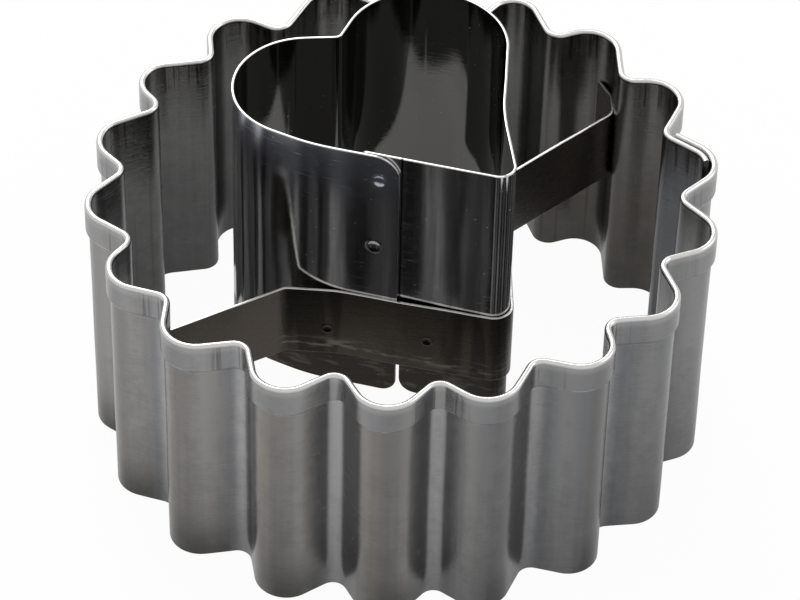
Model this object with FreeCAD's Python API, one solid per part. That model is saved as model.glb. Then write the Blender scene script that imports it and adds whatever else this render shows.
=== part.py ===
import FreeCAD, Part
import math
import os

os.makedirs("parts", exist_ok=True)

# Linzer cookie cutter: a fluted ring, a heart that stands in it, and the strap that carries the heart.
# Millimetres. The origin is the centre of the ring on its cutting edge, and +Z points up to the rolled rim.

# Fluted ring: one strip, its top edge folded down outside, its two ends lapped and spot welded
cut_diameter = 50.0
ring_height = 23.0
ring_sheet = 0.28
hem_height = 2.6
roll_flats = 4
flute_count = 18
flute_depth = 2.8
crest_bend = 2.3
valley_bend = 1.35
bend_share = 0.94
first_valley = 17.5
oval_swell = 0.2
oval_bearing = 60.0
ring_weld_heights = (6.0, 15.0)

# The flutes are formed by hand: degrees by which valleys and crests stray from even spacing, and
# millimetres by which each valley lies deeper than the rest
valley_drift = (0.5, 0.5, 0.5, -2.0, -3.5, 0.5, 0.0, -0.5, 0.0,
                0.5, -0.5, 0.0, 0.5, 0.0, 0.0, -1.0, 0.0, 0.5)
crest_lean = (1.0, 1.0, 1.0, 0.0, -0.5, 0.0, 1.0, 1.0, 0.0,
              -0.5, -0.5, 0.0, 0.0, -0.5, 0.5, 0.0, 0.0, 0.5)
valley_sink = (0.1, -0.2, -0.2, 0.1, 0.0, 0.3, -0.1, 0.0, -0.4,
               -0.3, -0.4, 0.2, 0.1, -0.3, -0.2, -0.2, 0.0, 0.0)

# Heart: bends as x, y and radius of the inner face, a negative radius where the sheet bends inwards
heart_bottom = 8.2
heart_height = 24.4
heart_sheet = 0.22
heart_tip = (7.2, -8.65, 1.1)
heart_right_side = (30.1, -1.3, -22.6)
right_lobe_outside = (1.5, 5.7, 6.3)
right_lobe_inside = (1.2, 6.05, 6.0)
heart_notch = (-5.7, 6.85, -0.7)
left_lobe = (-7.55, 0.2, 5.5)
left_shoulder = (-1.65, 8.25, 15.35)

# Lap on the heart's front face, measured back from its tip; its welds back from the seam, down from the top
seam_to_tip = 7.35
lap_width = 3.2
lap_corner = 2.0
tongue_corner = 0.5
tongue_notch_height = 4.6
seam_slit = 0.2
heart_welds = ((1.6, 2.4), (1.95, 9.2))

# Strap: one strip round the heart's front and tip, with a tab on the ring at each end; its welds back
# from the heart's tip and up from its lower edge
strap_above_heart = 3.25
strap_height = 6.7
strap_sheet = 0.25
strap_bend = 0.9
tab_bend = 1.3
strap_spring = 10.0
strap_settle = 20.0
spring_to_tip = 11.0
corner_to_tip = 15.7
corner_offset = 1.9
leaving_rise = 0.25
strap_welds = ((13.25, 2.65), (4.95, 3.1))
tab_bearings = (210.0, 42.0)
tab_share = 0.6
lift_share = 0.15
tab_lift = 26.0
tab_lift_gap = 0.02

# Fits and small forms
lap_gap = 0.05
touch_gap = 0.03
weld_radius = 0.5
strap_weld_radius = 0.35
crater_depth = 0.08

strap_bottom = heart_bottom + strap_above_heart
ring_lap = 2 * ring_sheet + lap_gap
heart_lap = heart_sheet + lap_gap

up = FreeCAD.Vector(0, 0, 1)


def flat(x, y, z=0.0):
    return FreeCAD.Vector(x, y, z)


def polar(radius, degrees):
    angle = math.radians(degrees)
    return radius * math.cos(angle), radius * math.sin(angle)


def heading(start, end):
    """Direction of the straight that leaves one bend and reaches the next, each given as x, y, radius."""
    gap = math.hypot(end[0] - start[0], end[1] - start[1])
    return math.atan2(end[1] - start[1], end[0] - start[0]) - math.asin((end[2] - start[2]) / gap)


def leave(bend, direction):
    """Point where a bend runs in the given direction; its centre lies to the left of the path."""
    return bend[0] + bend[2] * math.sin(direction), bend[1] - bend[2] * math.cos(direction)


def beside(point, direction, offset):
    """Point moved to the right of a direction, which is outwards on a path that goes round anticlockwise."""
    return point[0] + offset * math.sin(direction), point[1] - offset * math.cos(direction)


def along(point, direction, distance):
    return point[0] + distance * math.cos(direction), point[1] + distance * math.sin(direction)


def grown(bend, offset):
    return bend[0], bend[1], bend[2] + offset


def stretches(bends, start_direction=None):
    """Straights and arcs of a strip bent round a list of bends, as (start point, direction, size, bend)."""
    directions = [heading(a, b) for a, b in zip(bends, bends[1:])]
    found = []
    previous = start_direction
    for bend, after, direction in zip(bends, bends[1:], directions):
        if previous is not None and bend[2] != 0:
            turn = (direction - previous) % (2 * math.pi)
            if bend[2] < 0:
                turn -= 2 * math.pi
            found.append((leave(bend, previous), previous, turn, bend))
        start = leave(bend, direction)
        length = math.dist(start, leave(after, direction))
        found.append((start, direction, length, None))
        previous = direction
    return found


def section_at(outline, point, direction):
    """Closed wire of a strip's section, given as edges in (outwards, up), set square to the path."""
    turned = FreeCAD.Rotation(flat(math.sin(direction), -math.cos(direction)), flat(0, 0), up, "XZY")
    placed = outline.copy()
    placed.Placement = FreeCAD.Placement(flat(*point), turned)
    return placed


def strip(outline, bends, start_direction=None):
    """Solid of a strip of the given section, folded along its stretches."""
    runs = stretches(bends, start_direction)
    faces = []
    for point, direction, size, bend in runs:
        wire = section_at(outline, point, direction)
        if bend is None:
            swept = wire.extrude(flat(math.cos(direction), math.sin(direction)) * size)
        else:
            axis = up * math.copysign(1, size)
            swept = wire.revolve(flat(bend[0], bend[1]), axis, math.degrees(abs(size)))
        faces += swept.Faces
    first = runs[0]
    last_point = along(runs[-1][0], runs[-1][1], runs[-1][2])
    faces.append(Part.Face(section_at(outline, first[0], first[1])))
    faces.append(Part.Face(section_at(outline, last_point, runs[-1][1])))
    shell = Part.makeShell(faces)
    shell.sewShape()
    solid = Part.Solid(Part.Shell(shell.Faces))
    if solid.Volume < 0:
        solid.reverse()
    return solid


def plain_section(sheet, bottom, height):
    top = bottom + height
    corners = [flat(0, 0, bottom), flat(sheet, 0, bottom), flat(sheet, 0, top), flat(0, 0, top)]
    return Part.makePolygon(corners + corners[:1])


def hemmed_section():
    """A single sheet up to the hem, where it is rolled over outwards and pressed flat against itself."""
    rim = ring_height - ring_sheet
    step = ring_height - hem_height
    left = [flat(0, 0, rim), flat(0, 0, 0), flat(ring_sheet, 0, 0), flat(ring_sheet, 0, step)]
    right = [flat(2 * ring_sheet, 0, step), flat(2 * ring_sheet, 0, rim)]
    roll = []
    for step_index in range(1, roll_flats):
        angle = math.pi * step_index / roll_flats
        roll.append(flat(ring_sheet * (1 + math.cos(angle)), 0, rim + ring_sheet * math.sin(angle)))
    return Part.makePolygon(left + right + roll + left[:1])


def ring_reach(bearing):
    """Radius of the inner face at a crest; the hand-bent ring is a little longer along one diagonal."""
    return cut_diameter / 2 - ring_sheet + oval_swell * math.cos(math.radians(2 * (bearing - oval_bearing)))


def chosen(values, index):
    """Value of one flute out of a list; the numbering goes on past one turn."""
    return values[index % flute_count % len(values)]


def valley_bearing(index):
    return first_valley + index * 360.0 / flute_count + chosen(valley_drift, index)


def ring_valley(index):
    bearing = valley_bearing(index)
    depth = flute_depth + chosen(valley_sink, index)
    x, y = polar(ring_reach(bearing) - depth + valley_bend, bearing)
    return x, y, -valley_bend


def widest_bend(tip, bearing, valley):
    """Radius at which a bend inside a crest's tip would run straight into the valley's bend."""
    outwards = polar(1, bearing)
    across = (tip[0] - valley[0], tip[1] - valley[1])
    rise = across[0] * outwards[0] + across[1] * outwards[1]
    return (across[0] ** 2 + across[1] ** 2 - valley[2] ** 2) / (2 * (rise - valley[2]))


def ring_crest(index):
    """Crest between a valley and the next: rounder over the lap, tighter where the valleys crowd it."""
    bearing = (valley_bearing(index) + valley_bearing(index + 1)) / 2 + chosen(crest_lean, index)
    reach = ring_reach(bearing)
    tip = polar(reach, bearing)
    room = min(widest_bend(tip, bearing, ring_valley(side)) for side in (index, index + 1))
    lapped = index % flute_count == flute_count - 1
    bend = min(crest_bend + (ring_lap if lapped else 0), room * bend_share)
    x, y = polar(reach - bend, bearing)
    return x, y, bend


def ring_bends():
    bends = []
    for index in range(flute_count):
        bends += [ring_valley(index), ring_crest(index)]
    return bends


def make_ring():
    """The strip starts inside on the last crest, goes once round and ends outside, past its own start."""
    bends = ring_bends()
    start_crest = grown(bends[-1], -ring_lap)
    path = [start_crest] + bends + [grown(bends[0], ring_lap)]
    start_direction = math.atan2(start_crest[1], start_crest[0]) + math.pi / 2
    ring = strip(hemmed_section(), path, start_direction)
    direction = heading(start_crest, bends[0])
    start = leave(start_crest, direction)
    middle = along(start, direction, math.dist(start, leave(bends[0], direction)) / 2)
    for height in ring_weld_heights:
        ring = ring.fuse(nugget(middle, direction, ring_sheet / 2, ring_lap + ring_sheet / 2, height))
    return ring


def nugget(point, direction, inner, outer, height):
    """Weld metal that joins two layers: a short round bar square to the sheet."""
    x, y = beside(point, direction, inner)
    outwards = flat(math.sin(direction), -math.cos(direction))
    return Part.makeCylinder(weld_radius, outer - inner, flat(x, y, height), outwards)


def crater(point, direction, surface, height, radius):
    """Shallow round dent that a welding tip leaves, to be cut from the outside of a sheet."""
    ball = (radius ** 2 + crater_depth ** 2) / (2 * crater_depth)
    x, y = beside(point, direction, surface + ball - crater_depth)
    return Part.makeSphere(ball, flat(x, y, height))


def heart_front(distance, offset):
    """Point on the heart's straight front, back from its tip bend and outwards from the inner face."""
    direction = front_direction()
    end = leave(heart_tip, direction)
    return beside(along(end, direction, -distance), direction, offset)


def front_direction():
    return heading(left_shoulder, heart_tip)


def front_block(nearest, farthest, inner, outer, bottom, height):
    """Block on the heart's front between two distances from the tip bend, through chosen layers."""
    direction = front_direction()
    corner = heart_front(farthest, outer)
    block = Part.makeBox(farthest - nearest, outer - inner, height)
    turned = FreeCAD.Rotation(flat(math.cos(direction), math.sin(direction)), flat(0, 0), up, "XZY")
    block.Placement = FreeCAD.Placement(flat(corner[0], corner[1], bottom), turned)
    return block


def corner_cut(distance, side, inner, outer, bottom, upwards, radius):
    """What rounds a layer's square corner; side is +1 where the sheet runs from it towards the tip."""
    far = distance if side > 0 else distance + radius
    block = front_block(far - radius, far, inner, outer, bottom if upwards else bottom - radius, radius)
    axis = heart_front(distance - side * radius, inner)
    direction = front_direction()
    height = bottom + radius if upwards else bottom - radius
    outwards = flat(math.sin(direction), -math.cos(direction))
    bar = Part.makeCylinder(radius, outer - inner, flat(axis[0], axis[1], height), outwards)
    return block.cut(bar)


def make_heart():
    """The strip starts as a tongue behind its own end, and goes from the front face round the tip."""
    tongue_end = seam_to_tip + lap_width
    start = heart_front(tongue_end, 0) + (0,)
    finish = heart_front(seam_to_tip, heart_lap) + (0,)
    path = [start, heart_tip, heart_right_side, right_lobe_outside, right_lobe_inside, heart_notch]
    path += [grown(left_lobe, heart_lap), grown(left_shoulder, heart_lap), finish]
    heart = strip(plain_section(heart_sheet, heart_bottom, heart_height), path)
    top = heart_bottom + heart_height
    middle_gap = heart_sheet + lap_gap / 2
    clear = 1.0
    outside = heart_lap + heart_sheet + clear
    slit = seam_to_tip - seam_slit
    notch_bottom = heart_bottom - clear
    cuts = [
        corner_cut(seam_to_tip, -1, middle_gap, outside, heart_bottom, True, lap_corner),
        corner_cut(seam_to_tip, -1, middle_gap, outside, top, False, lap_corner),
        corner_cut(tongue_end, 1, -clear, middle_gap, top, False, tongue_corner),
        front_block(slit, tongue_end + clear, -clear, middle_gap, notch_bottom, tongue_notch_height + clear),
        corner_cut(slit, 1, -clear, middle_gap, heart_bottom, True, lap_corner),
    ]
    direction = front_direction()
    middle = heart_sheet / 2
    for from_seam, drop in heart_welds:
        spot = heart_front(seam_to_tip + from_seam, 0)
        weld_height = top - drop
        heart = heart.fuse(nugget(spot, direction, middle, heart_lap + middle, weld_height))
        cuts.append(crater(spot, direction, heart_lap + heart_sheet, weld_height, weld_radius))
    return heart.cut(Part.makeCompound(cuts))


def ring_flank(bearing, rising):
    """Straight side of the flute nearest a bearing: start, direction and length on the inner face."""
    index = round((bearing - first_valley) * flute_count / 360.0)
    pair = (ring_valley(index), ring_crest(index)) if rising else (ring_crest(index - 1), ring_valley(index))
    direction = heading(*pair)
    start = leave(pair[0], direction)
    return start, direction, math.dist(start, leave(pair[1], direction))


def run_inside(point, direction, bend, gap):
    """Length of a straight from a point to where it is one gap short of a bend's inner side."""
    x, y = point[0] - bend[0], point[1] - bend[1]
    ahead = x * math.cos(direction) + y * math.sin(direction)
    return math.sqrt(ahead**2 - x**2 - y**2 + (bend[2] - gap)**2) - ahead


def strap_bends():
    """Bends of the strap's inner side, from the ring's front round the heart to the ring's back."""
    face = heart_lap + heart_sheet
    direction = front_direction()
    corner = heart_front(corner_to_tip, face + corner_offset) + (-strap_bend - strap_sheet,)
    spring = heart_front(spring_to_tip, face + strap_spring) + (-strap_spring,)
    settle = heart_front(seam_to_tip, face - strap_settle) + (strap_settle,)
    tip = grown(heart_tip, heart_sheet + touch_gap)
    lobe = grown(right_lobe_outside, heart_sheet + touch_gap)
    rising = heading(tip, lobe)
    passed = along(leave(lobe, rising), rising, leaving_rise)
    leaving = beside(passed, rising, strap_bend + strap_sheet) + (-strap_bend - strap_sheet,)
    front_start, front_way, front_length = ring_flank(tab_bearings[0], False)
    back_start, back_way, back_length = ring_flank(tab_bearings[1], True)
    front_tab = along(front_start, front_way, front_length * tab_share)
    front_bend = beside(front_tab, front_way, -strap_sheet - tab_bend) + (tab_bend,)
    front_end = beside(front_start, front_way, -strap_sheet) + (0,)
    back_tab = along(back_start, back_way, back_length * (1 - tab_share))
    back_bend = beside(back_tab, back_way, -strap_sheet - tab_bend) + (tab_bend,)
    lift = along(back_bend, back_way, back_length * (tab_share - lift_share)) + (tab_bend,)
    lift_way = back_way + math.radians(tab_lift)
    lifted = leave(lift, lift_way)
    crest = ring_crest(round((tab_bearings[1] - first_valley) * flute_count / 360.0))
    lift_length = run_inside(beside(lifted, lift_way, strap_sheet), lift_way, crest, tab_lift_gap)
    back_end = along(lifted, lift_way, lift_length) + (0,)
    return [front_end, front_bend, corner, spring, settle, tip, leaving, back_bend, lift, back_end]


def make_strap():
    strap = strip(plain_section(strap_sheet, strap_bottom, strap_height), strap_bends())
    direction = front_direction()
    surface = heart_lap + heart_sheet + strap_sheet
    for distance, rise in strap_welds:
        spot = heart_front(distance, 0)
        strap = strap.cut(crater(spot, direction, surface, strap_bottom + rise, strap_weld_radius))
    return strap


pieces = {"outer_ring": make_ring, "heart_cutter": make_heart, "bridge_strap": make_strap}
for name, make in pieces.items():
    shape = make()
    print(name, "valid", shape.isValid(), "solids", len(shape.Solids), "volume", round(shape.Volume, 2))
    shape.exportStep("parts/" + name + ".step")
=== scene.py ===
import math

import bpy
import numpy as np
from mathutils import Matrix, Vector


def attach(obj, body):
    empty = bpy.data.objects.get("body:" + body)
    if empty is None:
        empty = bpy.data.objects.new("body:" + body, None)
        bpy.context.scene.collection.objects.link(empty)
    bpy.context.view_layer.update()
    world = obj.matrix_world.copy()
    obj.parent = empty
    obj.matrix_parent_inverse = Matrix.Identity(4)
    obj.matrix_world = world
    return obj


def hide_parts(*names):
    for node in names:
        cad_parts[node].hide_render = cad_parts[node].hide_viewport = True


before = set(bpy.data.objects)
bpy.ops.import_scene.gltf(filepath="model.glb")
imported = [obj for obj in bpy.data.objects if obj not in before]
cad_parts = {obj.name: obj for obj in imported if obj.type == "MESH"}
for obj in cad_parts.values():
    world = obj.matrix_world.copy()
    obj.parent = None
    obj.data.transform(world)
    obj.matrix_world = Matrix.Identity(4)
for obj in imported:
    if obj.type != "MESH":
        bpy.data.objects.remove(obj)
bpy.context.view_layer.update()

mm = 0.001
cutRadius = 25.0 * mm  # ring over its crests, the unit in which the view was fitted

# Camera first. It looks down at the cutter from the front, a little rolled, through a long lens.
view = {
    "lens": 180.0,  # mm on a 36 mm sensor
    "down": 43.1,  # degrees below the horizon
    "roll": -1.34,  # degrees
    "aim": (-0.0036, 0.3024),  # right and up in the picture, in ring radii from the ring's centre
    "distance": 13.25,  # ring radii
    "nearest": 0.01,  # m, where the view begins
}


def makeCamera(use):
    down, roll = math.radians(use["down"]), math.radians(use["roll"])
    right = Vector((1, 0, 0))
    up = Vector((0, math.sin(down), math.cos(down)))
    ahead = Vector((0, math.cos(down), -math.sin(down)))
    place = (right * use["aim"][0] + up * use["aim"][1] - ahead * use["distance"]) * cutRadius
    side = right * math.cos(roll) - up * math.sin(roll)
    top = right * math.sin(roll) + up * math.cos(roll)
    data = bpy.data.cameras.new("camera")
    data.lens = use["lens"]
    data.clip_start = use["nearest"]
    camera = bpy.data.objects.new("camera", data)
    turn = Matrix((side, top, -ahead)).transposed().to_4x4()
    camera.matrix_world = Matrix.Translation(place) @ turn
    bpy.context.collection.objects.link(camera)
    bpy.context.scene.camera = camera


makeCamera(view)
print("camera made")


# The three strips, in millimetres and degrees, as they were cut and bent. A bend is its centre's x and y and
# its radius, negative where it turns to the right. Rows of the mesh begin and end the first two distances
# from the foot and the top, and lie the third apart.
ring = {
    "diameter": 50.0,
    "height": 23.0,
    "sheet": 0.28,
    "hem": 2.6,
    "flutes": 18,
    "depth": 2.8,
    "crestBend": 2.3,
    "valleyBend": 1.35,
    "bendShare": 0.94,
    "firstValley": 17.5,
    "valleyDrift": (0.5, 0.5, 0.5, -2, -3.5, 0.5, 0, -0.5, 0, 0.5, -0.5, 0, 0.5, 0, 0, -1, 0, 0.5),
    "crestLean": (1, 1, 1, 0, -0.5, 0, 1, 1, 0, -0.5, -0.5, 0, 0, -0.5, 0.5, 0, 0, 0.5),
    "valleySink": (0.1, -0.2, -0.2, 0.1, 0, 0.3, -0.1, 0, -0.4, -0.3, -0.4, 0.2, 0.1, -0.3, -0.2, -0.2, 0, 0),
    "ovalSwell": 0.2,
    "ovalBearing": 60.0,
    "lapGap": 0.05,
    "hemEdgeRound": 0.1,
    "hemWaver": 0.07,
    "hemSeeds": (4, 9),
    "hemFiner": 2.3,  # how much shorter the second waver's waves are
    "hemReach": 0.6,
    "edgeRound": 0.05,
    "ripple": 0.02,
    "rippleSeed": 2,
    "arcStep": 6.0,
    "straightStep": 0.45,
    "rows": (0.5, 0.6, 1.0),
    "rowsUnderHem": (0.5, 0.25, 0.1, 0.02),
    "rowsOnHem": (0.15, 0.35, 0.7, 1.2, 1.7, 2.1),
}
heart = {
    "bottom": 8.2,
    "height": 24.4,
    "sheet": 0.22,
    "tip": (7.2, -8.65, 1.1),
    "rightSide": (30.1, -1.3, -22.6),
    "rightLobeOutside": (1.5, 5.7, 6.3),
    "rightLobeInside": (1.2, 6.05, 6.0),
    "notch": (-5.7, 6.85, -0.7),
    "leftLobe": (-7.55, 0.2, 5.5),
    "leftShoulder": (-1.65, 8.25, 15.35),
    "seamToTip": 7.35,
    "lapWidth": 3.2,
    "lapGap": 0.05,
    "lapCorner": 2.0,
    "footCorner": 1.3,
    "tongueCorner": 0.5,
    "tongueNotch": 4.6,
    "slit": 0.2,
    "slitEdge": 0.005,
    "welds": ((1.6, 2.4), (1.95, 9.2)),  # back from the seam, down from the top
    "weldRadius": 0.5,
    "weldDepth": 0.08,
    "edgeRound": 0.06,
    "ripple": 0.015,
    "rippleSeed": 7,
    "rippleFade": 6.0,
    "rippleLean": 0.5,
    "arcStep": 4.0,
    "straightStep": 0.6,
    "rows": (0.6, 0.3, 0.8),
    "cornerRows": 10,
    "weldReach": 0.8,
    "weldRows": 21,
}
strap = {
    "bottom": 11.45,
    "height": 6.7,
    "sheet": 0.25,
    "bend": 0.9,
    "tabBend": 1.3,
    "spring": 10.0,
    "settle": 20.0,
    "springToTip": 11.0,
    "cornerToTip": 15.7,
    "cornerOffset": 1.9,
    "leavingRise": 0.25,
    "welds": ((13.25, 2.65), (4.95, 3.1)),  # back from the heart's tip, up from the strap's bottom
    "weldRadius": 0.35,
    "weldDepth": 0.05,
    "tabBearings": (210.0, 42.0),
    "tabShare": 0.6,
    "liftShare": 0.15,
    "tabLift": 26.0,
    "tabLiftLength": 1.7,
    "touchGap": 0.03,
    "edgeRound": 0.06,
    "ripple": 0.02,
    "rippleSeed": 5,
    "rippleFade": 6.0,
    "arcStep": 4.0,
    "straightStep": 0.6,
    "rows": (0.5, 0.2, 0.6),
    "weldReach": 0.7,
    "weldRows": 29,
}
ringLap = 2 * ring["sheet"] + ring["lapGap"]
heartLap = heart["sheet"] + heart["lapGap"]


def heading(start, end):
    # the bearing from one bend's centre to the next, less the arcsine of the radii's difference over the gap
    gap = math.hypot(end[0] - start[0], end[1] - start[1])
    return math.atan2(end[1] - start[1], end[0] - start[0]) - math.asin((end[2] - start[2]) / gap)


def leave(bend, way):
    # centre plus radius times the normal to the right of the way
    return bend[0] + bend[2] * math.sin(way), bend[1] - bend[2] * math.cos(way)


def beside(point, way, offset):
    return point[0] + offset * math.sin(way), point[1] - offset * math.cos(way)


def along(point, way, distance):
    return point[0] + distance * math.cos(way), point[1] + distance * math.sin(way)


def grown(bend, offset):
    return bend[0], bend[1], bend[2] + offset


leastArcSteps = 4


def bendPath(bends, use, firstWay=None):
    # Straights run tangentially from bend to bend and arcs turn round each one: a station is the bend's
    # centre plus its radius times the normal to the right of its way. Returns run, x, y and way.
    arcStep, straightStep = math.radians(use["arcStep"]), use["straightStep"]
    ways = [heading(a, b) for a, b in zip(bends, bends[1:])]
    xs, ys, turns = [], [], []
    before = firstWay
    for bend, after, way in zip(bends, bends[1:], ways):
        if before is not None and bend[2] != 0:
            turn = (way - before) % (2 * math.pi)
            if bend[2] < 0:
                turn -= 2 * math.pi
            steps = max(leastArcSteps, int(abs(turn) / arcStep), int(abs(turn * bend[2]) / straightStep))
            angle = before + turn * np.linspace(0, 1, steps + 1)[:-1]
            xs.append(bend[0] + bend[2] * np.sin(angle))
            ys.append(bend[1] - bend[2] * np.cos(angle))
            turns.append(angle)
        start, end = leave(bend, way), leave(after, way)
        steps = max(1, int(math.dist(start, end) / straightStep))
        part = np.linspace(0, 1, steps + 1)[:-1]
        xs.append(start[0] + (end[0] - start[0]) * part)
        ys.append(start[1] + (end[1] - start[1]) * part)
        turns.append(np.full(steps, way))
        before = way
    xs.append([end[0]])
    ys.append([end[1]])
    turns.append([way])
    x, y, way = np.concatenate(xs), np.concatenate(ys), np.unwrap(np.concatenate(turns))
    run = np.concatenate([[0], np.cumsum(np.hypot(np.diff(x), np.diff(y)))])
    return run, x, y, way


def closely(places, use):
    # rows or stations close together round each weld
    reach = use["weldReach"]
    return [np.linspace(place - reach, place + reach, use["weldRows"]) for place in places]


def wallRows(use, foot, top):
    first, last, gap = use["rows"]
    return np.arange(foot + first, top - last, gap)


def refined(path, more):
    # the same path with stations added at the given runs
    run, x, y, way = path
    keep = np.unique(np.round(np.concatenate([run, more]), 5))
    keep = keep[(keep >= 0) & (keep <= run[-1])]
    return keep, np.interp(keep, run, x), np.interp(keep, run, y), np.interp(keep, run, way)


quarter = np.linspace(0, math.pi / 2, 4)  # the turn of a rounded edge
aside = quarter / 1.6  # how far the side goes from a face to just short of the edge's middle
support = 0.03  # from a rounded edge to the row that keeps the wall's shading flat
clearOfEdge = 0.1


def rows(offset, height, side):
    return np.stack(np.broadcast_arrays(offset, height, side), 1)


def plainProfile(use, levels):
    # Closed section of a cut sheet, from the inside's foot up, over the rounded top edge, down and round
    # below. Each row is the offset outwards, the height, and the side, -1 inside to 1 outside.
    sheet, edge = use["sheet"], use["edgeRound"]
    top = use["bottom"] + use["height"] - edge
    foot = use["bottom"] + edge
    levels = levels[(levels > foot + clearOfEdge) & (levels < top - clearOfEdge)]
    levels = np.concatenate([[foot + support], levels, [top - support]])
    across, up = edge * np.cos(quarter), edge * np.sin(quarter)
    return np.concatenate([
        rows(edge - up, foot - across, -1 + aside[::-1]),
        rows(0, levels, -1),
        rows(edge - across, top + up, -1 + aside),
        rows(sheet - edge + up, top + across, 1 - aside[::-1]),
        rows(sheet, levels[::-1], 1),
        rows(sheet - edge + across, foot - up, 1 - aside),
    ])


rollRows = 15


def hemProfile(use, levels):
    # Section of the hemmed strip: a single sheet inside, a half round over the rim, the turned-down sheet
    # pressed on its outside, a rounded lower edge of the hem, and the single sheet again down to the foot.
    sheet, edge, lip = use["sheet"], use["edgeRound"], use["hemEdgeRound"]
    rim = use["height"] - sheet
    step = use["height"] - use["hem"]
    levels = np.concatenate([[edge + support], levels, [rim - support]])
    inner = levels[(levels > edge) & (levels < rim)]
    hemLevels = levels[(levels > step + lip) & (levels < rim)][::-1]
    lower = levels[(levels > edge) & (levels < step)][::-1]
    roll = np.linspace(0, math.pi, rollRows)
    across, up = np.cos(quarter), np.sin(quarter)
    return np.concatenate([
        rows(edge - edge * up, edge - edge * across, -1 + aside[::-1]),
        rows(0, inner, -1),
        rows(sheet - sheet * np.cos(roll), rim + sheet * np.sin(roll), roll * 2 / math.pi - 1),
        rows(2 * sheet, hemLevels, 1),
        rows(2 * sheet - lip + lip * across, step + lip - lip * up, 1),
        rows(sheet, [step], 1),
        rows(sheet, lower, 1),
        rows(sheet - edge + edge * across, edge - edge * up, 1 - aside),
    ])


waveLengths = (3.1, 4.7, 6.3, 9.5, 14.0)
waveLean = 0.7
waveReach = 1.7  # about what the five waves reach together, where the longest alone reaches 1


def ripples(run, height, seed, amount):
    # five crossed sine waves of random direction and phase, each as high as it is long, scaled to the amount
    random = np.random.default_rng(seed)
    wave = 0
    for length in waveLengths:
        phase, lean = random.uniform(0, 2 * math.pi), random.uniform(-waveLean, waveLean)
        wave = wave + np.sin(2 * math.pi * (run + lean * height) / length + phase) * length / waveLengths[-1]
    return wave * amount / waveReach


sharpAngle = 50  # degrees between two faces, over which their edge is shaded sharp
onOutside, onHem = 0.5, 0.99  # a row's side is over these on the outer face, and on the hem's own


def stripMesh(name, path, profile, change):
    # Every station of the path carries the profile, offset along the station's normal. The change function
    # returns new offsets and heights for whole grids of run, offset, height and side.
    run, x, y, way = path
    runs = run[:, None] + 0 * profile[None, :, 0]
    offset, height = change(runs, profile[None, :, 0] + 0 * runs, profile[None, :, 1] + 0 * runs,
                            profile[None, :, 2] + 0 * runs)
    points = np.stack([x[:, None] + offset * np.sin(way)[:, None],
                       y[:, None] - offset * np.cos(way)[:, None], height], 2)
    count, around = runs.shape
    at = np.arange(count * around).reshape(count, around)
    after = np.roll(at, -1, axis=1)
    walls = np.stack([at[:-1], at[1:], after[1:], after[:-1]], 2).reshape(-1, 4)
    half = np.arange(around // 2 - 1)
    cap = np.stack([half, half + 1, around - 2 - half, around - 1 - half], 1)
    ends = np.concatenate([at[0][cap], at[-1][cap][:, ::-1]])
    faces = np.concatenate([walls, ends])
    flat = points.reshape(-1, 3)
    corners = flat[faces]
    volume = np.einsum("ij,ij->i", corners[:, 0], np.cross(corners[:, 1], corners[:, 2])).sum()
    volume += np.einsum("ij,ij->i", corners[:, 0], np.cross(corners[:, 2], corners[:, 3])).sum()
    if volume < 0:
        faces = faces[:, ::-1]
    mesh = bpy.data.meshes.new(name)
    mesh.from_pydata(flat * mm, [], faces)
    mesh.polygons.foreach_set("use_smooth", np.ones(len(faces), bool))
    mesh.set_sharp_from_angle(angle=math.radians(sharpAngle))
    place = np.stack([runs, height, profile[None, :, 2] + 0 * runs], 2)
    mesh.attributes.new("sheetPlace", "FLOAT_VECTOR", "POINT").data.foreach_set("vector", place.ravel())
    mesh.update()
    piece = bpy.data.objects.new(name, mesh)
    bpy.context.collection.objects.link(piece)
    print(name, len(faces) * 2, "triangles")
    return piece


def fluteBends(use):
    # Valleys stand on even bearings plus their drift, crests midway between them plus their lean. The reach
    # is the radius plus a swell times the cosine of twice the bearing from the long diagonal, and a crest's
    # bend is held under the room between its valleys.
    index = np.arange(use["flutes"] + 1)
    drift, sink = (np.take(use[name], index % use["flutes"]) for name in ("valleyDrift", "valleySink"))
    bearing = np.radians(use["firstValley"] + index * 360 / use["flutes"] + drift)
    crest = (bearing[:-1] + bearing[1:]) / 2 + np.radians(use["crestLean"])
    outwards = np.stack([np.cos(crest), np.sin(crest)], 1)
    valleyReach, reach = (use["diameter"] / 2 - use["sheet"]
                          + use["ovalSwell"] * np.cos(2 * (turn - math.radians(use["ovalBearing"])))
                          for turn in (bearing, crest))
    tip = outwards * reach[:, None]
    middle = valleyReach - use["depth"] - sink + use["valleyBend"]
    valley = np.stack([np.cos(bearing), np.sin(bearing)], 1) * middle[:, None]
    rooms = []
    for side in (valley[:-1], valley[1:]):
        across = tip - side
        rise = (across * outwards).sum(1)
        rooms.append(((across ** 2).sum(1) - use["valleyBend"] ** 2) / (2 * (rise + use["valleyBend"])))
    room = np.minimum(*rooms) * use["bendShare"]
    bend = np.full(use["flutes"], use["crestBend"])
    bend[-1] += ringLap
    bend = np.minimum(bend, room)
    centre = outwards * (reach - bend)[:, None]
    valleys = [(x, y, -use["valleyBend"]) for x, y in valley]
    crests = [(x, y, r) for (x, y), r in zip(centre, bend)]
    return valleys, crests


valleys, crests = fluteBends(ring)


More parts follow.
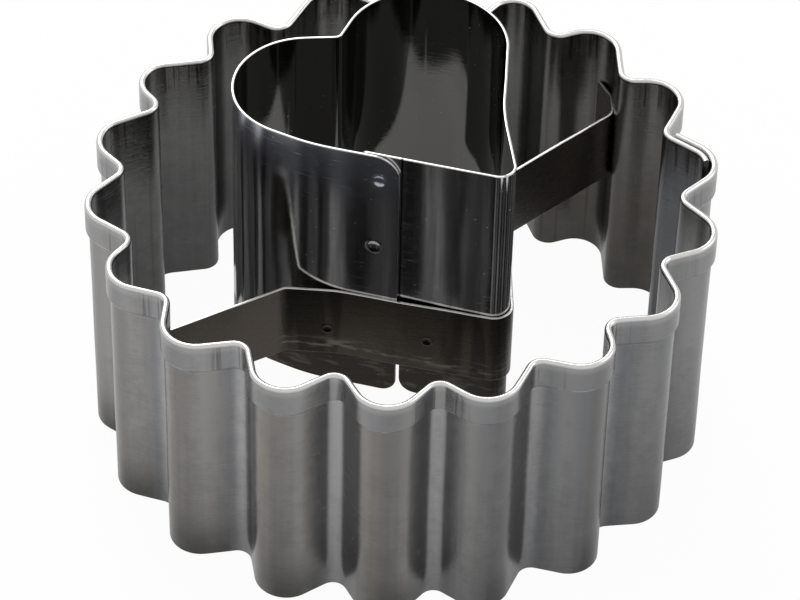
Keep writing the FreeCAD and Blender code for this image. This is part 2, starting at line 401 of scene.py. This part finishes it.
def makeRing(use):
    bends = [grown(crests[-1], -ringLap)]
    for valley, crest in zip(valleys, crests):
        bends += [valley, crest]
    bends.append(grown(valleys[0], ringLap))
    firstWay = math.atan2(crests[-1][1], crests[-1][0]) + math.pi / 2
    path = bendPath(bends, use, firstWay)
    step = use["height"] - use["hem"]
    levels = np.concatenate([wallRows(use, 0, step), step - np.array(use["rowsUnderHem"]),
                             step + np.array(use["rowsOnHem"])])

    def shaped(run, offset, height, side):
        close = np.clip(1 - np.abs(height - step) / use["hemReach"], 0, 1)
        waver = ripples(run, 0 * run, use["hemSeeds"][0], use["hemWaver"])
        waver = waver + ripples(run * use["hemFiner"], 0 * run, use["hemSeeds"][1], use["hemWaver"] / 2)
        height = height + close * waver * (side > onHem)
        inwards = ripples(run, height, use["rippleSeed"], use["ripple"]) - 2 * use["ripple"]
        return offset + inwards, height

    piece = stripMesh("flutedRing", path, hemProfile(use, levels), shaped)
    # where in its flute a point lies: 0 in a valley to 1 on a crest, and -1 to 1 from one flank to the other
    spots = np.empty(len(piece.data.vertices) * 3)
    piece.data.vertices.foreach_get("co", spots)
    bearing = np.arctan2(spots[1::3], spots[0::3])
    marks = np.unwrap([math.atan2(y, x) for x, y, bend in valleys])
    part = np.interp((bearing - marks[0]) % (2 * math.pi) + marks[0], marks, np.arange(len(marks))) % 1
    flute = np.stack([1 - np.abs(2 * part - 1), np.sin(2 * math.pi * part), 0 * part], 1)
    piece.data.attributes.new("flutePlace", "FLOAT_VECTOR", "POINT").data.foreach_set("vector", flute.ravel())
    return piece


def heartFront(distance, offset):
    # a point of the heart's straight front, back from the tip bend and out from the inner face
    end = leave(heart["tip"], frontWay)
    return beside(along(end, frontWay, -distance), frontWay, offset)


frontWay = heading(heart["leftShoulder"], heart["tip"])


weldLip = {"height": 0.25, "place": 1.15, "width": 0.18}  # in depths, and in radii


def dented(run, height, welds, use):
    # a shallow bowl: depth times one minus the squared distance over the radius, with a small raised lip
    sink = 0 * run
    for weldRun, weldHeight in welds:
        far = np.hypot(run - weldRun, height - weldHeight) / use["weldRadius"]
        lip = weldLip["height"] * np.exp(-((far - weldLip["place"]) / weldLip["width"]) ** 2)
        sink = sink + use["weldDepth"] * (lip - np.clip(1 - far ** 2, 0, 1))
    return sink


def faded(distance, use):
    # no ripple at a strip's end, all of it from one fade's length on
    return np.clip(distance / use["rippleFade"], 0, 1)


def drawnBack(distance, radius):
    # how far a rounded corner's edge draws back: r minus the root of r squared less x squared
    inside = np.clip(radius - distance, 0, radius)
    return radius - np.sqrt(radius ** 2 - inside ** 2)


def makeHeart(use):
    tongueEnd = use["seamToTip"] + use["lapWidth"]
    start = heartFront(tongueEnd, 0) + (0,)
    finish = heartFront(use["seamToTip"], heartLap) + (0,)
    bends = [start, use["tip"], use["rightSide"], use["rightLobeOutside"], use["rightLobeInside"]]
    bends += [use["notch"], grown(use["leftLobe"], heartLap), grown(use["leftShoulder"], heartLap), finish]
    path = bendPath(bends, use)
    length = path[0][-1]
    bottom, top = use["bottom"], use["bottom"] + use["height"]
    welds = [(length - fromSeam, top - down) for fromSeam, down in use["welds"]]
    corner, footCorner, tongueCorner = use["lapCorner"], use["footCorner"], use["tongueCorner"]
    slit, slitEdge = use["lapWidth"] + use["slit"], use["slitEdge"]
    ease = 1 - np.cos(np.linspace(0, math.pi / 2, use["cornerRows"]))
    stations = closely([weldRun for weldRun, weldHeight in welds], use)
    stations += [length - corner * ease, slit + corner * ease, [slit - 2 * slitEdge], tongueCorner * ease]
    path = refined(path, np.concatenate(stations))
    levels = [wallRows(use, bottom, top)] + closely([weldHeight for weldRun, weldHeight in welds], use)

    def shaped(run, offset, height, side):
        notched = np.where(run < slit - slitEdge, use["tongueNotch"], drawnBack(run - slit, footCorner))
        low = bottom + drawnBack(length - run, footCorner) + notched
        high = top - drawnBack(length - run, corner) - drawnBack(run, tongueCorner)
        height = low + (height - bottom) * (high - low) / (top - bottom)
        fade = faded(run - slit, use) * faded(length - run, use)
        offset = offset + ripples(run, height * use["rippleLean"], use["rippleSeed"], use["ripple"]) * fade
        return offset + dented(run, height, welds, use) * (side > onOutside), height

    profile = plainProfile(use, np.unique(np.concatenate(levels)))
    return stripMesh("heartCutter", path, profile, shaped), length


def ringFlank(bearing, rising):
    # the straight of the flute nearest a bearing: start, way and length on the ring's inner face
    index = round((bearing - ring["firstValley"]) * ring["flutes"] / 360)
    first = valleys[index] if rising else crests[index - 1]
    second = crests[index] if rising else valleys[index]
    way = heading(first, second)
    start = leave(first, way)
    return start, way, math.dist(start, leave(second, way))


def makeStrap(use):
    sheet, bend = use["sheet"], use["bend"]
    face = heartLap + heart["sheet"]
    corner = heartFront(use["cornerToTip"], face + use["cornerOffset"]) + (-bend - sheet,)
    spring = heartFront(use["springToTip"], face + use["spring"]) + (-use["spring"],)
    settle = heartFront(heart["seamToTip"], face - use["settle"]) + (use["settle"],)
    tip = grown(heart["tip"], heart["sheet"] + use["touchGap"])
    lobe = grown(heart["rightLobeOutside"], heart["sheet"] + use["touchGap"])
    rising = heading(tip, lobe)
    passed = along(leave(lobe, rising), rising, use["leavingRise"])
    leaving = beside(passed, rising, bend + sheet) + (-bend - sheet,)
    frontStart, frontFlank, frontLength = ringFlank(use["tabBearings"][0], False)
    backStart, backFlank, backLength = ringFlank(use["tabBearings"][1], True)
    frontTab = along(frontStart, frontFlank, frontLength * use["tabShare"])
    frontBend = beside(frontTab, frontFlank, -sheet - use["tabBend"]) + (use["tabBend"],)
    frontEnd = beside(frontStart, frontFlank, -sheet) + (0,)
    backTab = along(backStart, backFlank, backLength * (1 - use["tabShare"]))
    backBend = beside(backTab, backFlank, -sheet - use["tabBend"]) + (use["tabBend"],)
    lift = along(backBend, backFlank, backLength * (use["tabShare"] - use["liftShare"])) + (use["tabBend"],)
    liftWay = backFlank + math.radians(use["tabLift"])
    backEnd = along(leave(lift, liftWay), liftWay, use["tabLiftLength"]) + (0,)
    bends = [frontEnd, frontBend, corner, spring, settle, tip, leaving, backBend, lift, backEnd]
    path = bendPath(bends, use)
    run, x, y, way = path
    welds = []
    for distance, rise in use["welds"]:
        spot = heartFront(distance, face)
        welds.append((run[np.argmin(np.hypot(x - spot[0], y - spot[1]))], use["bottom"] + rise))
    path = refined(path, np.concatenate(closely([weldRun for weldRun, weldHeight in welds], use)))
    length = path[0][-1]
    levels = [wallRows(use, use["bottom"], use["bottom"] + use["height"])]
    levels += closely([weldHeight for weldRun, weldHeight in welds], use)

    def shaped(run, offset, height, side):
        fade = faded(run, use) * faded(length - run, use)
        offset = offset + ripples(run, height, use["rippleSeed"], use["ripple"]) * fade
        return offset + dented(run, height, welds, use) * (side > onOutside), height

    profile = plainProfile(use, np.unique(np.concatenate(levels)))
    corners = [run[np.argmin(np.hypot(x - bend[0], y - bend[1]))] for bend in (corner, tip)]
    return stripMesh("bridgeStrap", path, profile, shaped), welds, *corners


ringPiece = makeRing(ring)
heartPiece, heartLength = makeHeart(heart)
strapPiece, strapWelds, strapCorner, strapTurn = makeStrap(strap)


class Shade:
    # a socket in a material's node tree; Python's operators on it add Math nodes
    def __init__(self, tree, socket=None):
        self.tree = tree
        self.socket = socket

    def node(self, kind, settings=None, values=None, output=0):
        made = self.tree.nodes.new(kind)
        for key, value in (settings or {}).items():
            setattr(made, key, value)
        for key, value in (values or {}).items():
            if isinstance(value, Shade):
                self.tree.links.new(value.socket, made.inputs[key])
            else:
                made.inputs[key].default_value = value
        return Shade(self.tree, made.outputs[output] if made.outputs else None)

    def maths(self, operation, *numbers, clamp=False):
        settings = {"operation": operation, "use_clamp": clamp}
        return self.node("ShaderNodeMath", settings, dict(enumerate(numbers)))

    def __add__(self, other):
        return self.maths("ADD", self, other)

    def __radd__(self, other):
        return self.maths("ADD", other, self)

    def __sub__(self, other):
        return self.maths("SUBTRACT", self, other)

    def __rsub__(self, other):
        return self.maths("SUBTRACT", other, self)

    def __mul__(self, other):
        return self.maths("MULTIPLY", self, other)

    def __abs__(self):
        return self.maths("ABSOLUTE", self)

    def held(self):
        return self.maths("ADD", self, 0, clamp=True)

    def band(self, low, high):
        # rises smoothly from 0 at low to 1 at high
        values = {"Value": self, "From Min": low, "From Max": high}
        return self.node("ShaderNodeMapRange", {"interpolation_type": "SMOOTHSTEP"}, values)

    def mixed(self, first, second):
        # the first colour where this is 0, the second where it is 1; sockets 6, 7 and 2 are the colours' own
        colours = [c if isinstance(c, Shade) else (*c, 1) for c in (first, second)]
        return self.node("ShaderNodeMix", {"data_type": "RGBA"}, {0: self, 6: colours[0], 7: colours[1]}, 2)


def near(value, middle, reach):
    # 1 where the value meets the middle, falling to 0 at the reach
    return 1 - abs(value - middle).band(0, reach)


faceTurn = 0.2  # how near the edge's middle the inner face's paint turns into the outer's
grainRoughness = 0.6


class Sheet:
    # a metal finish that reads where on its strip a point lies
    def __init__(self, name):
        self.material = bpy.data.materials.new(name)
        self.material.use_nodes = True
        self.material.node_tree.nodes.clear()
        self.shade = Shade(self.material.node_tree)
        self.run, self.height, self.side = (self.part("sheetPlace", axis) for axis in "XYZ")
        inObject = self.shade.node("ShaderNodeTexCoord", output="Object")
        self.right, self.back = (self.axis(inObject, axis) * (1 / mm) for axis in "XY")

    def attribute(self, name):
        return self.shade.node("ShaderNodeAttribute", {"attribute_name": name}, output="Vector")

    def axis(self, vector, axis):
        return self.shade.node("ShaderNodeSeparateXYZ", values={0: vector}, output=axis)

    def part(self, name, axis):
        return self.axis(self.attribute(name), axis)

    def inner(self):
        # 1 on the inner face, 0 on the outer
        return (0 - self.side).band(-faceTurn, faceTurn)

    def cutEdge(self, span):
        return (1 - abs(self.side)).band(*span)

    def grains(self, table):
        # noises of one unit size on the strip, after run, height and side are multiplied by the stretch
        made = {}
        for name, (stretch, detail, shift) in table.items():
            placing = {"Vector": self.attribute("sheetPlace"), "Scale": stretch, "Location": shift}
            noise = {"Vector": self.shade.node("ShaderNodeMapping", values=placing), "Scale": 1.0,
                     "Detail": detail, "Roughness": grainRoughness}
            made[name] = self.shade.node("ShaderNodeTexNoise", {"noise_dimensions": "3D"}, noise)
        return made

    def finish(self, colour, roughness, bump, bumpDistance, anisotropic=0.0):
        normal = self.shade.node("ShaderNodeBump", values={"Height": bump, "Distance": bumpDistance})
        shader = self.shade.node("ShaderNodeBsdfPrincipled", values={
            "Base Color": colour, "Metallic": 1.0, "Roughness": roughness, "Normal": normal,
            "Anisotropic": anisotropic})
        self.shade.node("ShaderNodeOutputMaterial", values={"Surface": shader})
        return self.material


def weighed(shares, *grains):
    # the sum of the grains, each times its share
    total = 0
    for share, grain in zip(shares, grains):
        total = grain * share + total
    return total


# In each finish a grain is its stretch along run, height and side, its detail and its shift. A span is where
# a band begins and ends, or for near, its middle and reach. Spans named after the hem start from its foot.
satin = {
    "cool": (0.219, 0.222, 0.229),
    "warm": (0.237, 0.222, 0.205),
    "belly": (0.186, 0.182, 0.178),
    "paintedHighlight": (0.33, 0.327, 0.322),
    "valley": (0.36, 0.36, 0.365),
    "crimpAndFootShade": (0.06, 0.06, 0.06),
    "hem": (0.255, 0.257, 0.263),
    "line": (0.48, 0.48, 0.49),
    "inside": (0.128, 0.127, 0.126),
    "innerLap": (0.14, 0.143, 0.15),
    "insideFront": (0.3, 0.3, 0.3),
    "pocket": (0.1, 0.1, 0.1),
    "insideRight": (0.12, 0.112, 0.102),
    "insideHigh": (0.2, 0.197, 0.193),
    "stain": (0.04, 0.033, 0.025),
    "rim": (0.57, 0.56, 0.55),
    "dark": (0.01, 0.01, 0.01),
    "grains": {
        "brush": ((0.25, 18.0, 0.5), 3.0, (0, 0, 0)),
        "band": ((1.3, 0.02, 0.5), 2.0, (3, 1, 0)),
        "wide": ((0.3, 0.015, 0.5), 1.0, (7, 2, 0)),
        "cloud": ((0.9, 0.5, 0.5), 4.0, (9, 4, 2)),
        "speck": ((5.0, 5.0, 5.0), 1.0, (2, 8, 3)),
        "fine": ((1.1, 10.0, 0.5), 2.0, (4, 6, 1)),
        "fold": ((2.6, 0.06, 0.5), 2.0, (5, 3, 7)),
    },
    "spans": {
        "warmth": (0.4, 0.8),
        "warmRight": (-4.0, 12.0),
        "hem": (-0.05, 0.05),
        "belly": (0.95, 1.35),
        "paintedHighlight": (0.66, 0.3),
        "sideHighlight": (18.0, 25.0),
        "valley": (0.06, 0.26),
        "hemLipHighlight": (0.04, 0.07),
        "lipCloud": (0.35, 0.6),
        "hemScuff": (-0.6, 0.06),
        "scuffBrush": (0.45, 0.6),
        "pinchFold": (0.54, 0.66),
        "pinchCrest": (0.3, 0.55),
        "low": (0.2, 5.0),
        "lowCloud": (0.45, 1.1),
        "front": (-6.0, 4.0),
        "right": (8.0, 14.0),
        "hemCrimp": (-0.6, 0.4),
        "crimpFold": (0.5, 0.62),
        "high": (21.0, 22.8),
        "highCloud": (0.45, 0.6),
        "stainBand": (0.56, 0.75),
        "pocket": (0.45, 0.6),
        "pocketBand": (0.5, 0.6),
        "insideHigh": (9.0, 20.0),
        "innerLap": (5.0, 6.0),
        "foot": (-3.0, 17.0),
        "hemShade": (-0.12, 0.3),
        "rightShade": (-16.0, 14.0),
        "rimSide": (0.4, 1.1),
        "rimHeight": (22.0, 22.6),
        "cut": (0.1, 0.4),
        "cutHeight": (0.0, 0.3),
    },
    "shares": {
        "warmCloud": 0.4,
        "bellyFlank": 0.2,
        "bellyWide": 0.4,
        "bellyHem": 0.5,
        "highlightWide": 0.2,
        "paintedHighlight": 0.55,
        "sideHighlight": 0.15,
        "valleyHem": 0.6,
        "scuffCloud": 0.5,
        "scuff": 0.5,
        "pinch": 0.6,
        "lowCrest": 0.4,
        "lowFlank": 0.3,
        "low": 0.7,
        "crimp": 0.7,
        "high": 0.6,
        "stain": 0.5,
        "pocket": 0.8,
        "pocketBand": 0.3,
        "insideHigh": 0.6,
        "foot": 0.3,
        "hemShade": 0.3,
        "rightShade": 0.2,
    },
    "rimSide": 0.1,  # the rim's painted highlight lies this far outwards of the fold's middle
    "level": (0.15, 0.35, 0.35, 0.3, 0.5),  # of brush, fine, band, wide and cloud
    "levelBase": 0.15,
    "highlightPatches": (0.4, 0.25),  # of cloud and speck
    "highlightPatchesBase": 0.75,
    "roughness": 0.24,
    "roughen": (0.14, 0.1),  # of brush and cloud
    "bump": (0.6, 0.4, 0.3),  # of brush, cloud and speck
    "bumpDepth": 0.00002,
    "anisotropy": 0.3,
}


def satinOutside(sheet, use, fromStep, hem, crest, flank, grains):
    # cool rolled sheet, warmer on the left lobes, with painted highlights on the shoulders, pale valleys as
    # painted reflection and painted shade at the foot
    brush, wide, cloud, fold = (grains[name] for name in ("brush", "wide", "cloud", "fold"))
    span, share = use["spans"], use["shares"]
    warmth = (crest + cloud * share["warmCloud"]).band(*span["warmth"])
    warmth = warmth * (1 - sheet.right.band(*span["warmRight"]))
    colour = hem.mixed(warmth.mixed(use["cool"], use["warm"]), use["hem"])
    # painted reflection: darker middles of the crests, less on the hem
    belly = (crest - flank * share["bellyFlank"] + wide * share["bellyWide"]).band(*span["belly"])
    colour = (belly * (1 - hem * share["bellyHem"])).mixed(colour, use["belly"])
    # painted highlight: lighter shoulders on each flute, and lighter lobes at the far left and right
    shoulders = near(crest + wide * share["highlightWide"], *span["paintedHighlight"]) * share["paintedHighlight"]
    sides = abs(sheet.right).band(*span["sideHighlight"]) * share["sideHighlight"]
    colour = (shoulders + sides).held().mixed(colour, use["paintedHighlight"])
    # painted reflection: pale strips in the valleys, fainter on the hem
    valley = (1 - crest.band(*span["valley"])) * (1 - hem * share["valleyHem"])
    colour = valley.mixed(colour, use["valley"])
    # a painted highlight along the hem's lower edge, in patches, and real scuffs just below it, in one pale
    # colour
    lip = near(fromStep, *span["hemLipHighlight"]) * cloud.band(*span["lipCloud"])
    scuff = near(fromStep - cloud * share["scuffCloud"], *span["hemScuff"])
    scuff = scuff * brush.band(*span["scuffBrush"]) * share["scuff"]
    colour = (lip + scuff).held().mixed(colour, use["line"])
    # painted shade: dark bars in the hem's crimps at the valleys, and a darker foot
    pinch = hem * fold.band(*span["pinchFold"]) * (1 - crest.band(*span["pinchCrest"])) * share["pinch"]
    low = (cloud + crest * share["lowCrest"] - flank * share["lowFlank"]).band(*span["lowCloud"])
    low = low * (1 - sheet.height.band(*span["low"])) * share["low"]
    return (pinch + low).held().mixed(colour, use["crimpAndFootShade"])


def satinInside(sheet, use, fromStep, crest, grains):
    # darker as painted shade, paler towards the rim, stained at the hem's foot; the front's inner wall is
    # painted lighter, with pockets of painted shade in its flutes
    band, cloud, fold = (grains[name] for name in ("band", "cloud", "fold"))
    span, share = use["spans"], use["shares"]
    front = 1 - sheet.back.band(*span["front"])
    crimp = fromStep.band(*span["hemCrimp"]) * fold.band(*span["crimpFold"]) * share["crimp"]
    high = sheet.height.band(*span["high"]) * cloud.band(*span["highCloud"]) * share["high"]
    stain = (crimp + high + band.band(*span["stainBand"]) * share["stain"]).held() * (1 - front)
    # painted shade in the pockets of the front's flutes, on an inner front wall painted as if lit
    pocket = crest.band(*span["pocket"]) * share["pocket"]
    pocket = (pocket + band.band(*span["pocketBand"]) * share["pocketBand"]).held()
    colour = sheet.right.band(*span["right"]).mixed(use["inside"], use["insideRight"])
    paler = sheet.height.band(*span["insideHigh"]) * share["insideHigh"]
    colour = sheet.run.band(*span["innerLap"]).mixed(use["innerLap"], paler.mixed(colour, use["insideHigh"]))
    colour = stain.mixed(colour, use["stain"])
    return front.mixed(colour, pocket.mixed(use["insideFront"], use["pocket"]))


def satinSteel(use):
    sheet = Sheet("satinSteel")
    span, share = use["spans"], use["shares"]
    grains = sheet.grains(use["grains"])
    brush, cloud, speck = (grains[name] for name in ("brush", "cloud", "speck"))
    crest, flank = sheet.part("flutePlace", "X"), sheet.part("flutePlace", "Y")
    fromStep = sheet.height - (ring["height"] - ring["hem"])
    hem = fromStep.band(*span["hem"])
    inside = sheet.inner()
    walls = inside.mixed(satinOutside(sheet, use, fromStep, hem, crest, flank, grains),
                         satinInside(sheet, use, fromStep, crest, grains))
    # painted shade: the walls' random tone darkens towards the foot, just under the hem and over the right
    # side
    foot = 1 - (1 - sheet.height.band(*span["foot"])) * share["foot"]
    under = 1 - near(fromStep, *span["hemShade"]) * (1 - hem) * (1 - inside) * share["hemShade"]
    rightShade = 1 - sheet.right.band(*span["rightShade"]) * (1 - inside) * share["rightShade"]
    level = weighed(use["level"], brush, grains["fine"], grains["band"], grains["wide"], cloud)
    level = ((level + use["levelBase"]) * foot * under).held() * rightShade
    # painted highlight: a pale line along the top of the rim, in patches; the cut edges take the same pale
    # colour
    rim = 1 - abs(sheet.side - use["rimSide"]).band(*span["rimSide"])
    rim = rim * sheet.height.band(*span["rimHeight"])
    cut = sheet.cutEdge(span["cut"]) * (1 - sheet.height.band(*span["cutHeight"]))
    highlightPatches = weighed(use["highlightPatches"], cloud, speck) + use["highlightPatchesBase"]
    colour = (rim * highlightPatches + cut).held().mixed(level.mixed(use["dark"], walls), use["rim"])
    roughness = weighed(use["roughen"], brush - 0.5, cloud - 0.5) + use["roughness"]
    bump = weighed(use["bump"], brush, cloud, speck)
    return sheet.finish(colour, roughness, bump, use["bumpDepth"], use["anisotropy"])


bright = {
    "face": (0.4, 0.4, 0.41),
    "streak": (0.62, 0.62, 0.62),
    "hazeReflection": (0.42, 0.43, 0.48),
    "foot": (0.042, 0.037, 0.031),
    "shadeMottle": (0.085, 0.078, 0.068),
    "gap": (0.01, 0.01, 0.01),
    "inside": (0.132, 0.13, 0.127),
    "edge": (0.5, 0.49, 0.48),
    "grains": {
        "brush": ((0.5, 14.0, 0.5), 3.0, (0, 0, 0)),
        "scratch": ((0.35, 22.0, 0.5), 2.0, (1, 3, 2)),
        "cloud": ((0.25, 0.2, 0.5), 3.0, (2, 7, 1)),
        "streak": ((1.1, 0.05, 0.5), 2.0, (4, 2, 6)),
        "shadeMottle": ((0.5, 1.8, 0.5), 3.0, (1, 9, 4)),
        "dust": ((5.5, 5.5, 5.5), 0.0, (6, 1, 2)),
    },
    "spans": {
        "scratch": (0.66, 0.76),
        "shadeMottle": (0.5, 0.66),
        "dust": (0.84, 0.9),
        "dustCloud": (0.48, 0.56),
        "edge": (0.15, 0.5),
        "behindStrap": (-0.1, 0.5),  # from the strap's lower edge
        "hazeReflection": (29.0, 33.0),
        "hazeReflectionRun": (42.0, 50.0),
        "streak": (0.4, 0.65),
        "seam": (0.1, 0.16),  # from the lap's end
    },
    "shares": {
        "hazeReflectionCloud": 6.0,
        "cut": 0.6,
        "scratch": 0.22,
    },
    "cutReach": 0.1,
    "roughness": 0.02,
    "roughen": {"cloud": 0.02, "hazeReflection": 0.16, "foot": 0.25, "scratch": 0.17, "dust": 0.5},
    "scratchInside": 0.2,
    "bumpScratch": 0.4,
    "bumpDepth": 0.000002,
}


def brightSteel(use):
    sheet = Sheet("brightSteel")
    span, share, roughen = use["spans"], use["shares"], use["roughen"]
    brush, scratch, cloud, streak, shadeMottle, dust = sheet.grains(use["grains"]).values()
    scratch = scratch.band(*span["scratch"])
    dust = dust.band(*span["dust"]) * cloud.band(*span["dustCloud"])
    inside = sheet.inner()
    outside = 1 - inside
    # painted shade: the heart's face dark below the strap, mottled lighter, and rougher there
    below = 1 - (sheet.height - strap["bottom"]).band(*span["behindStrap"])
    # painted reflection: a pale bluish haze near the top of the left end, where the sheet is also rougher
    hazeReflection = (sheet.height + cloud * share["hazeReflectionCloud"]).band(*span["hazeReflection"])
    hazeReflection = hazeReflection * sheet.run.band(*span["hazeReflectionRun"])
    # painted reflection: lighter vertical streaks on the heart's face
    face = streak.band(*span["streak"]).mixed(use["face"], use["streak"])
    foot = shadeMottle.band(*span["shadeMottle"]).mixed(use["foot"], use["shadeMottle"])
    outer = below.mixed(hazeReflection.mixed(face, use["hazeReflection"]), foot)
    # painted shade: the inner face far darker than the outer face
    colour = sheet.cutEdge(span["edge"]).mixed(inside.mixed(outer, use["inside"]), use["edge"])
    # painted shadow in the gap beside the lap's end, and a painted highlight along the outer layer's cut end
    seam = near(sheet.run - heart["lapWidth"], *span["seam"]) * outside
    cut = near(sheet.run, heartLength, use["cutReach"]) * share["cut"]
    light = (dust + cut + scratch * outside * share["scratch"]).held()
    colour = seam.mixed(light.mixed(colour, use["edge"]), use["gap"])
    roughness = cloud * roughen["cloud"] + use["roughness"]
    roughness = roughness + (hazeReflection * roughen["hazeReflection"] + below * roughen["foot"]) * outside
    scratched = scratch * (1 - inside * (1 - use["scratchInside"]))
    roughness = roughness + scratched * roughen["scratch"] + (dust + cut) * roughen["dust"]
    return sheet.finish(colour, roughness, brush + scratch * use["bumpScratch"], use["bumpDepth"])


dull = {
    "left": (0.105, 0.09, 0.076),
    "middle": (0.075, 0.065, 0.052),
    "stripe": (0.042, 0.037, 0.03),
    "back": (0.19, 0.175, 0.155),
    "rimReflection": (0.18, 0.168, 0.15),
    "burnt": (0.025, 0.021, 0.017),
    "edge": (0.52, 0.51, 0.49),
    "grains": {
        "brush": ((0.4, 12.0, 0.5), 3.0, (0, 0, 0)),
        "cloud": ((0.4, 0.5, 0.5), 4.0, (5, 2, 1)),
        "wave": ((0.4, 1.9, 0.5), 3.0, (1, 9, 4)),
        "stripe": ((0.45, 0.06, 0.5), 1.0, (3, 5, 2)),
    },
    "spans": {
        "stripe": (0.52, 0.6),
        "edge": (0.1, 0.4),
        "burnt": (0.0, 0.16),  # squared distance from a weld
        "corner": (-0.9, -0.1),  # from the bend at the heart's left end
        "turn": (-0.5, 2.0),  # from the bend round the tip
        "low": (1.1, 0.9),  # from the strap's lower edge
        "rimReflection": (0.46, 0.6),
    },
    "roughness": 0.18,
    "roughen": (0.08, 0.1),  # of brush and cloud
    "bump": (1.0, 0.5),  # of brush and cloud
    "bumpDepth": 0.000006,
}


def dullSteel(use):
    sheet = Sheet("dullSteel")
    span = use["spans"]
    brush, cloud, wave, stripe = sheet.grains(use["grains"]).values()
    burnt = 0
    for weldRun, weldHeight in strapWelds:
        away, above = sheet.run - weldRun, sheet.height - weldHeight
        burnt = near(away * away + above * above, *span["burnt"]) + burnt
    front = (sheet.run - strapCorner).band(*span["corner"])
    beyond = (sheet.run - strapTurn).band(*span["turn"])
    middle = stripe.band(*span["stripe"]).mixed(use["middle"], use["stripe"])
    face = beyond.mixed(front.mixed(use["left"], middle), use["back"])
    # painted reflection of the ring's rim: lighter patches just above the strap's lower edge along the
    # heart's front
    low = near(sheet.height - strap["bottom"], *span["low"])
    rimReflection = wave.band(*span["rimReflection"]) * low * front * (1 - beyond)
    face = burnt.held().mixed(rimReflection.mixed(face, use["rimReflection"]), use["burnt"])
    colour = sheet.cutEdge(span["edge"]).mixed(face, use["edge"])
    roughness = weighed(use["roughen"], brush, cloud) + use["roughness"]
    return sheet.finish(colour, roughness, weighed(use["bump"], brush, cloud), use["bumpDepth"])


ringPiece.data.materials.append(satinSteel(satin))
heartPiece.data.materials.append(brightSteel(bright))
strapPiece.data.materials.append(dullSteel(dull))
for piece, node, slot in ((ringPiece, "outer_ring", "satin_steel"),
                          (heartPiece, "heart_cutter", "bright_steel"),
                          (strapPiece, "bridge_strap", "strap_steel")):
    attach(piece, "root")
    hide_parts(node)
print("finishes made")

studio = {
    "floorSize": 3.0,
    "floorHeight": -0.00002,
    "floorColour": (0.86, 0.86, 0.86),
    "shadowShare": 0.04,
    "mirroredShadow": 0.5,
    "worldLevel": 0.6,
    "keyLevel": 5.0,
    "keySize": 0.35,
    "keyPlace": (-0.15, 0.4, 0.42),
    "fillLevel": 1.5,
    "fillSize": 0.3,
    "fillPlace": (0.4, 0.1, 0.35),
    "lampAim": (0, 0, 0.012),
}
rays = ("Is Camera Ray", "Is Glossy Ray", "Is Transmission Ray")


def makeFloor(use):
    half, height = use["floorSize"] / 2, use["floorHeight"]
    mesh = bpy.data.meshes.new("floor")
    corners = [(-half, -half, height), (half, -half, height), (half, half, height), (-half, half, height)]
    mesh.from_pydata(corners, [], [(0, 1, 2, 3)])
    floor = bpy.data.objects.new("floor", mesh)
    bpy.context.collection.objects.link(floor)
    material = bpy.data.materials.new("paleFloor")
    material.use_nodes = True
    tree = material.node_tree
    tree.nodes.clear()
    shade = Shade(tree)
    lit = shade.node("ShaderNodeBsdfDiffuse", values={"Color": (*use["floorColour"], 1)})
    white = shade.node("ShaderNodeEmission", values={"Color": (1, 1, 1, 1), "Strength": 1.0})
    camera, glossy, through = (shade.node("ShaderNodeLightPath", output=ray) for ray in rays)
    seen = camera * (1 - use["shadowShare"]) + (glossy + through).held() * (1 - use["mirroredShadow"])
    surface = shade.node("ShaderNodeMixShader", values={0: seen, 1: lit, 2: white})
    shade.node("ShaderNodeOutputMaterial", values={"Surface": surface})
    mesh.materials.append(material)


def makeWorld(use):
    world = bpy.data.worlds.new("studio")
    bpy.context.scene.world = world
    world.use_nodes = True
    tree = world.node_tree
    tree.nodes.clear()
    shade = Shade(tree)
    # full white to the camera, in mirrors and through glass, and dimmer as light
    camera, glossy, through = (shade.node("ShaderNodeLightPath", output=ray) for ray in rays)
    level = (camera + glossy + through).held() * (1 - use["worldLevel"]) + use["worldLevel"]
    sky = shade.node("ShaderNodeBackground", values={"Color": (1, 1, 1, 1), "Strength": level})
    shade.node("ShaderNodeOutputWorld", values={"Surface": sky})


def makeLamp(name, place, size, level):
    # an area lamp aimed at the cutter; the level is its radiance, so power is level times pi times area
    data = bpy.data.lights.new(name, "AREA")
    data.shape = "SQUARE"
    data.size = size
    data.energy = level * math.pi * size ** 2
    lamp = bpy.data.objects.new(name, data)
    lamp.location = place
    lamp.rotation_mode = "QUATERNION"
    lamp.rotation_quaternion = (Vector(place) - Vector(studio["lampAim"])).to_track_quat("Z", "Y")
    bpy.context.collection.objects.link(lamp)


makeFloor(studio)
makeWorld(studio)
makeLamp("keyLamp", studio["keyPlace"], studio["keySize"], studio["keyLevel"])
makeLamp("fillLamp", studio["fillPlace"], studio["fillSize"], studio["fillLevel"])
settings = bpy.context.scene.view_settings
settings.view_transform = "Standard"
print("studio made")
